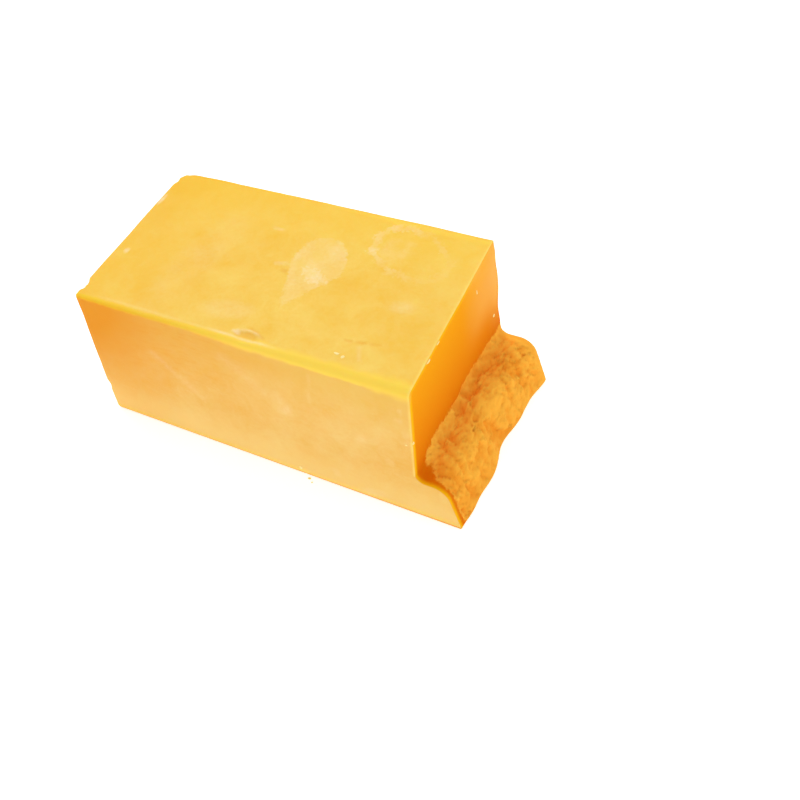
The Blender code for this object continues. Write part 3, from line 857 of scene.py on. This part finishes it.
# The cut is painted darker towards its foot, in painted shade
cut_shade_share = add(tree, "ShaderNodeMapRange", {"From Min": 24.0, "From Max": 64.0}, {"Value": split.outputs["Z"]})
cut_colour = mix(CUT_LOW_SHADED, CUT_HIGH, cut_shade_share.outputs["Result"])
cut_colour = mix(cut_colour, CUT_EDGE, mask["edge_clear"])
cut_colour = mix(cut_colour, CUT_DRY, mask["cut_pale"])
# The rough face starts along a ragged line, which follows the grain of the curd
crumbly_line = add(tree, "ShaderNodeMath", {"operation": "MULTIPLY_ADD", 1: 0.9}, {0: grain.outputs["Fac"], 2: mask["torn"]})
rough_face = add(
    tree,
    "ShaderNodeMapRange",
    {"interpolation_type": "SMOOTHSTEP", "From Min": 0.72, "From Max": 1.18, "To Max": 0.85},
    {"Value": crumbly_line.outputs[0]},
)
cut_colour = mix(cut_colour, TORN_MATTE, rough_face.outputs["Result"])
# Painted shade in the creases of the torn face
cut_colour = mix(cut_colour, CREASE_SHADE_ORANGE, mask["crease_shade"])
colour = mix(colour, cut_colour, mask["fresh"])
colour = mix(colour, EDGE_CREAM, mask["edge_pale"])


def ragged(edge, share, noise, wander, sharp):
    """A mask with a ragged edge from a distance in mm: the distance is moved by the noise, up to
    wander mm to either side, then goes from 0 to 1 over sharp mm around 0, times a share."""
    moved = add(tree, "ShaderNodeMath", {"operation": "MULTIPLY_ADD", 1: 2.0 * wander}, {0: noise, 2: edge})
    ranged = add(
        tree,
        "ShaderNodeMapRange",
        {"interpolation_type": "SMOOTHSTEP", "From Min": wander - 0.5 * sharp, "From Max": wander + 0.5 * sharp},
        {"Value": moved.outputs[0]},
    )
    return add(tree, "ShaderNodeMath", {"operation": "MULTIPLY"}, {0: ranged.outputs["Result"], 1: share}).outputs[0]


scrape = ragged(mask["smear_in"], mask["smear_share"], grain.outputs["Fac"], 1.2, 1.2)
heart = ragged(mask["heart_in"], mask["heart_share"], grain.outputs["Fac"], 2.6, 2.2)
ring_off = add(tree, "ShaderNodeMath", {"operation": "MULTIPLY_ADD", 1: 6.0, 2: -3.0}, {0: curds.outputs["Fac"]})
ring_off = add(tree, "ShaderNodeMath", {"operation": "ADD"}, {0: ring_off.outputs[0], 1: mask["ring_in"]})
ring_off = add(tree, "ShaderNodeMath", {"operation": "ABSOLUTE"}, {0: ring_off.outputs[0]})
ring_off = add(tree, "ShaderNodeMath", {"operation": "SUBTRACT", 0: 1.3}, {1: ring_off.outputs[0]})
ring_line = ragged(ring_off.outputs[0], mask["ring_share"], grain.outputs["Fac"], 1.8, 1.6)
# Bloom, with the painted highlights mixed in
smears_and_highlights = add(tree, "ShaderNodeMath", {"operation": "MAXIMUM"}, {0: scrape, 1: heart})
smears_and_highlights = add(tree, "ShaderNodeMath", {"operation": "ADD"}, {0: smears_and_highlights.outputs[0], 1: ring_line})
smears_and_highlights = add(tree, "ShaderNodeMath", {"operation": "ADD", "use_clamp": True}, {0: smears_and_highlights.outputs[0], 1: mask["bloom_and_highlights"]})
bloom_and_highlight_share = add(tree, "ShaderNodeMapRange", {"From Min": 0.35, "From Max": 0.7, "To Min": 0.6}, {"Value": grain.outputs["Fac"]})
bloom_and_highlight_share = add(tree, "ShaderNodeMath", {"operation": "MULTIPLY"}, {0: bloom_and_highlight_share.outputs["Result"], 1: smears_and_highlights.outputs[0]})
colour = mix(colour, PALE_BLOOM_AND_HIGHLIGHT, bloom_and_highlight_share.outputs[0])

rough = add(tree, "ShaderNodeMapRange", {"To Min": 0.42, "To Max": 0.58}, {"Value": patchy.outputs[0]})
rough = add(tree, "ShaderNodeMath", {"operation": "MULTIPLY_ADD", 1: 0.38}, {0: mask["fresh"], 2: rough.outputs["Result"]})
fine_height = add(tree, "ShaderNodeMath", {"operation": "MULTIPLY_ADD", 1: 0.4}, {0: pores.outputs["Fac"], 2: grain.outputs["Fac"]})
crumbly = add(tree, "ShaderNodeMath", {"operation": "MULTIPLY_ADD", 1: 3.0, 2: 1.0}, {0: mask["torn"]})
fine_height = add(tree, "ShaderNodeMath", {"operation": "MULTIPLY"}, {0: fine_height.outputs[0], 1: crumbly.outputs[0]})
skin_bump = add(
    tree,
    "ShaderNodeBump",
    {"Strength": 0.25, "Distance": 0.12 * METRES},
    {"Height": fine_height.outputs[0]},
)
# Light soaks into the smooth faces, and hardly into the crumbly ones
soaked = add(tree, "ShaderNodeMath", {"operation": "MULTIPLY_ADD", 1: -0.27, 2: 0.3}, {0: mask["torn"]})
shader = add(
    tree,
    "ShaderNodeBsdfPrincipled",
    {
        "IOR": 1.45,
        "Specular IOR Level": 0.04,
        "Subsurface Radius": (1.0, 0.45, 0.12),
        "Subsurface Scale": 3.0 * METRES,
    },
    {
        "Base Color": colour,
        "Roughness": rough.outputs[0],
        "Subsurface Weight": soaked.outputs[0],
        "Normal": skin_bump.outputs["Normal"],
    },
)
add(tree, "ShaderNodeOutputMaterial", {}, {"Surface": shader.outputs["BSDF"]})
block.data.materials.append(cheddar)

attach(block, "root")
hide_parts("cheddar_block")

# Crumbs and flakes
# Bits of the same cheese that broke off under the knife: crumbs lying along the foot of the
# front, and thin flakes that still stick to the front and to the edge beside the cut.

RING_STEPS = 12
HEIGHT_STEPS = 7
CRUMBS = [
    ((90.2, -1.4, 0.3), (0.65, 0.5, 0.3)),
    ((91.9, -2.6, 0.2), (0.35, 0.3, 0.2)),
]
FLAKES = [
    ((130.7, 1.2, 49.3), (0.7, 0.20, 0.5)),
    ((132.7, 0.9, 37.9), (0.7, 0.22, 0.4)),
    ((135.2, 1.2, 39.8), (0.4, 0.45, 0.7)),
    ((135.2, 16.4, 64.0), (0.4, 1.5, 0.22)),
    ((134.7, 24.6, 64.3), (0.4, 1.1, 0.20)),
    ((133.7, 58.0, 57.0), (0.20, 0.4, 0.9)),
    ((134.0, 71.0, 34.0), (0.22, 0.6, 0.7)),
    ((86.3, 0.0, 3.3), (0.5, 0.26, 1.2)),
    ((106.0, 8.7, 63.9), (1.0, 0.5, 0.22)),
    ((108.4, 8.0, 63.9), (0.7, 0.6, 0.20)),
]


def broken_bits(bits, roughness):
    """Lumpy balls: middle + size * direction * (1 + roughness * noise), the direction given by
    an angle round the upright and an angle up it. Each pole is closed by a strip of quads."""
    turn = 2.0 * np.pi * np.arange(RING_STEPS) / RING_STEPS
    rise = np.pi * (np.arange(HEIGHT_STEPS) + 0.6) / (HEIGHT_STEPS + 0.2) - 0.5 * np.pi
    direction = np.stack([
        np.cos(rise)[:, None] * np.cos(turn),
        np.cos(rise)[:, None] * np.sin(turn),
        np.sin(rise)[:, None] + 0.0 * turn,
    ], -1).reshape(-1, 3)
    ball = np.arange(RING_STEPS * HEIGHT_STEPS).reshape(HEIGHT_STEPS, RING_STEPS)
    beside = np.roll(ball, -1, axis=1)
    sides_of_ball = np.stack([ball[:-1], beside[:-1], beside[1:], ball[1:]], -1).reshape(-1, 4)
    strip = np.arange(RING_STEPS // 2 - 1)
    end = np.stack([strip, strip + 1, RING_STEPS - 2 - strip, RING_STEPS - 1 - strip], -1)
    faces = np.concatenate([sides_of_ball, end[:, ::-1], end + ball[-1, 0]])
    middle = np.array([bit[0] for bit in bits])[:, None]
    size = np.array([bit[1] for bit in bits])[:, None]
    number = np.arange(len(bits))[:, None, None]
    noise = lumps(direction + 7.3 * number, 0.9, 51) + 0.5 * lumps(direction + 3.1 * number, 0.45, 52)
    place = middle + size * direction * (1.0 + roughness * noise[..., None])
    faces = faces + number * direction.shape[0]
    return place.reshape(-1, 3), faces.reshape(-1, 4)


# Crumbled cheddar: the same cheese, broken small, so it is dry, matt and paler
CRUMB_DEEP = "#FBD970"
CRUMB_PALE = "#FFF3BE"
crumbled = bpy.data.materials.new("crumbled_cheddar")
crumbled.use_nodes = True
tree = crumbled.node_tree
tree.nodes.clear()
coordinates = add(tree, "ShaderNodeTexCoord", {}, {})
bar = add(tree, "ShaderNodeMapping", {"Scale": (1.0 / METRES,) * 3}, {"Vector": coordinates.outputs["Object"]})
grain = add(tree, "ShaderNodeTexNoise", {"Scale": 1.0 / 0.8, "Detail": 3.0}, {"Vector": bar.outputs["Vector"]})
shader = add(
    tree,
    "ShaderNodeBsdfPrincipled",
    {"Roughness": 0.8, "IOR": 1.45, "Specular IOR Level": 0.04},
    {"Base Color": mix(CRUMB_DEEP, CRUMB_PALE, grain.outputs["Fac"])},
)
add(tree, "ShaderNodeOutputMaterial", {}, {"Surface": shader.outputs["BSDF"]})

for name, bits, roughness in [("floor_crumbs", CRUMBS, 0.34), ("knife_flakes", FLAKES, 0.45)]:
    place, faces = broken_bits(bits, roughness)
    place[:, 2] = np.maximum(place[:, 2], 0.0)
    piece = make_mesh(name, place, faces)
    piece.data.shade_flat()
    piece.data.materials.append(crumbled)
    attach(piece, "root")

# The floor
# A sheet of white paper that the block stands on, lit until it is almost pure white.

FLOOR_SIZE = 3.0
FLOOR_GAP = 0.0002
PAPER_WHITE = "#F4F3F2"
LIT_FROM_BELOW = 0.5
floor_mesh = bpy.data.meshes.new("floor")
half = FLOOR_SIZE / 2.0
floor_corners = [(-half, -half, -FLOOR_GAP), (half, -half, -FLOOR_GAP), (half, half, -FLOOR_GAP), (-half, half, -FLOOR_GAP)]
floor_mesh.from_pydata(floor_corners, [], [(0, 1, 2, 3)])
floor = bpy.data.objects.new("floor", floor_mesh)
bpy.context.collection.objects.link(floor)
paper = bpy.data.materials.new("white_paper")
paper.use_nodes = True
paper.node_tree.nodes["Principled BSDF"].inputs["Base Color"].default_value = to_linear(PAPER_WHITE)
paper.node_tree.nodes["Principled BSDF"].inputs["Roughness"].default_value = 0.9
paper.node_tree.nodes["Principled BSDF"].inputs["Emission Color"].default_value = (1.0, 1.0, 1.0, 1.0)
paper.node_tree.nodes["Principled BSDF"].inputs["Emission Strength"].default_value = LIT_FROM_BELOW
floor.data.materials.append(paper)

# Light and camera
# White light from all round, as in a light tent, with one large soft lamp behind on the left.

TENT_STRENGTH = 0.85
KEY_DIRECTION = (-0.42, 0.41, 0.81)
KEY_DISTANCE = 1.8
KEY_SIZE = 0.7
KEY_POWER = 8.6

world = bpy.data.worlds.new("light_tent")
world.use_nodes = True
world.node_tree.nodes["Background"].inputs["Color"].default_value = (1.0, 1.0, 1.0, 1.0)
world.node_tree.nodes["Background"].inputs["Strength"].default_value = TENT_STRENGTH
bpy.context.scene.world = world

key_data = bpy.data.lights.new("key", "AREA")
key_data.energy = KEY_POWER
key_data.size = KEY_SIZE
key = bpy.data.objects.new("key", key_data)
key.location = Vector(KEY_DIRECTION).normalized() * KEY_DISTANCE
key.rotation_euler = (-key.location).to_track_quat("-Z", "Y").to_euler()
bpy.context.collection.objects.link(key)

EYE = (248.07, -183.31, 308.28)
AIM = (119.15, 22.15, 32.06)
ROLL = -7.576
LENS = 47.17
SENSOR = 36.0

eye = Vector((np.array(EYE) + low_corner) * METRES)
aim = Vector((np.array(AIM) + low_corner) * METRES)
forward = (aim - eye).normalized()
level_right = forward.cross(Vector((0.0, 0.0, 1.0))).normalized()
level_up = level_right.cross(forward)
roll = np.radians(ROLL)
right = level_right * np.cos(roll) + level_up * np.sin(roll)
up = right.cross(forward)
turn = Matrix((right, up, -forward)).transposed()
camera_data = bpy.data.cameras.new("camera")
camera_data.lens = LENS
camera_data.sensor_width = SENSOR
camera_data.clip_start = 0.01
camera = bpy.data.objects.new("camera", camera_data)
camera.matrix_world = Matrix.Translation(eye) @ turn.to_4x4()
bpy.context.collection.objects.link(camera)
bpy.context.scene.camera = camera
bpy.context.scene.view_settings.view_transform = "Standard"
